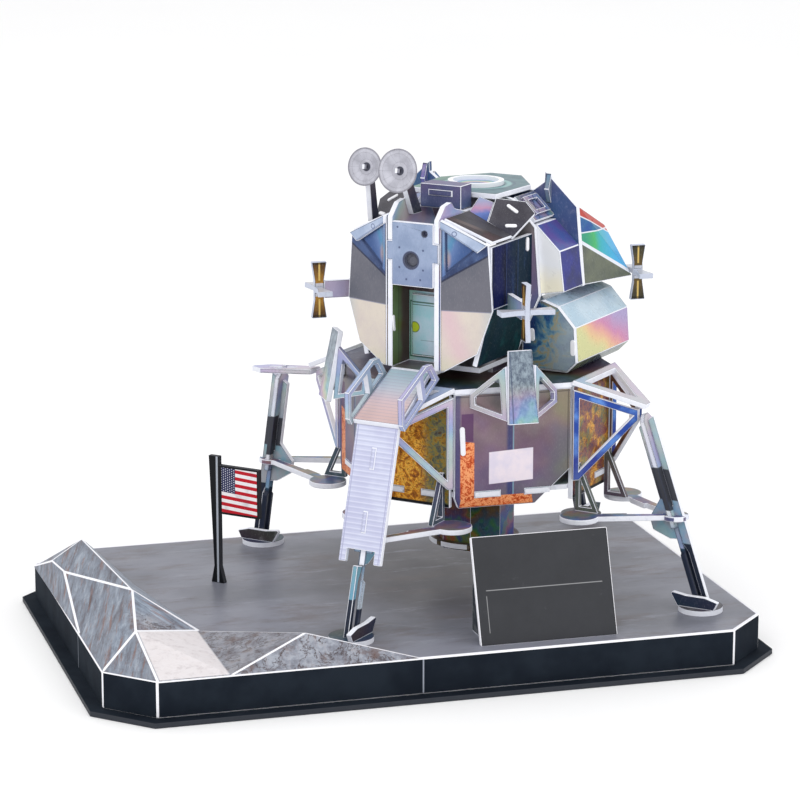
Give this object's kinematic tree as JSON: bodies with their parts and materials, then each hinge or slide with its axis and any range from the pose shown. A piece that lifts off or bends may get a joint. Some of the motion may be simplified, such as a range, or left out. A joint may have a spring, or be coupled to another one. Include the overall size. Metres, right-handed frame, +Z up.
{
  "type": "lunar lander model",
  "caption": "Slotted foam-board model of a lunar lander with a ladder, folded foil-print panels and dish antennas, on a black-walled base with rocky ground, a blank plaque and a flag",
  "frame": {"origin": "on the underside of the base, below the lander's upright axis", "axes": "+X right along the base's front edge, +Y from the plaque side towards the back, +Z up; the hatch and ladder face between -X and -Y"},
  "size_m": [0.267, 0.189, 0.1943],
  "materials": {
    "black_board": "matt black paper face on foam board, white cut edges",
    "ground_print": "grey dusty ground print on foam board",
    "rock_print": "grey and rust rock print on folded board, white seams",
    "charcoal_print": "charcoal print, blank face",
    "flag_print": "flag print with a black border",
    "white_board": "white to pale lilac print with white cut edges",
    "violet_foil": "brown violet rainbow foil print, satin",
    "amber_foil": "amber crumpled foil print, satin",
    "blue_foil": "blue rainbow foil print, satin",
    "silver_foil": "silver rainbow foil print, satin",
    "rainbow_foil": "pale rainbow foil print, satin",
    "graphite_print": "graphite grey print, satin",
    "navy_foil": "navy rainbow foil print, satin",
    "panel_print": "pale blue grey panel print, satin",
    "umber_foil": "dark umber foil print, satin",
    "teal_foil": "teal rainbow foil print, satin",
    "gold_foil": "gold and brown nozzle print, satin",
    "dish_print": "pale lilac dish print, satin"
  },
  "bodies": {
    "root": {"base_floor": "black_board", "base_walls": "black_board", "base_deck": "ground_print", "rock_left": "rock_print", "rock_front": "rock_print", "plaque": "charcoal_print", "plaque_prop": "black_board", "flag": "flag_print", "stage_floor": "white_board", "stage_top": "graphite_print", "stage_quads": "violet_foil", "stage_bays": "amber_foil", "nozzle": "rainbow_foil", "nozzle_ring": "umber_foil", "outriggers": "blue_foil", "outrigger_tops": "white_board", "left_wing": "white_board", "leg_radial": "silver_foil", "leg_cross": "navy_foil", "leg_braces": "graphite_print", "leg_brackets": "graphite_print", "pads": "navy_foil", "pad_dishes": "navy_foil", "porch": "silver_foil", "ladder": "white_board", "handrails": "white_board", "deflector_plates": "silver_foil", "deflector_frames": "white_board", "cabin_floor": "black_board", "cabin_panel": "panel_print", "cabin_ribs": "white_board", "hatch": "silver_foil", "cabin_cheeks": "graphite_print", "cabin_brows": "panel_print", "cabin_sides": "navy_foil", "cabin_shoulders": "umber_foil", "cabin_facets": "umber_foil", "mid_shoulders": "teal_foil", "roof": "teal_foil", "roof_ring": "white_board", "roof_box": "navy_foil", "bulkhead_mid": "white_board", "bulkhead_aft": "white_board", "side_bays": "navy_foil", "tank_boxes": "rainbow_foil", "aft_fairings": "blue_foil", "aft_fins": "blue_foil", "thrusters": "gold_foil", "thruster_arms": "silver_foil", "dish_masts": "black_board", "dishes": "dish_print"}
  },
  "joints": []
}
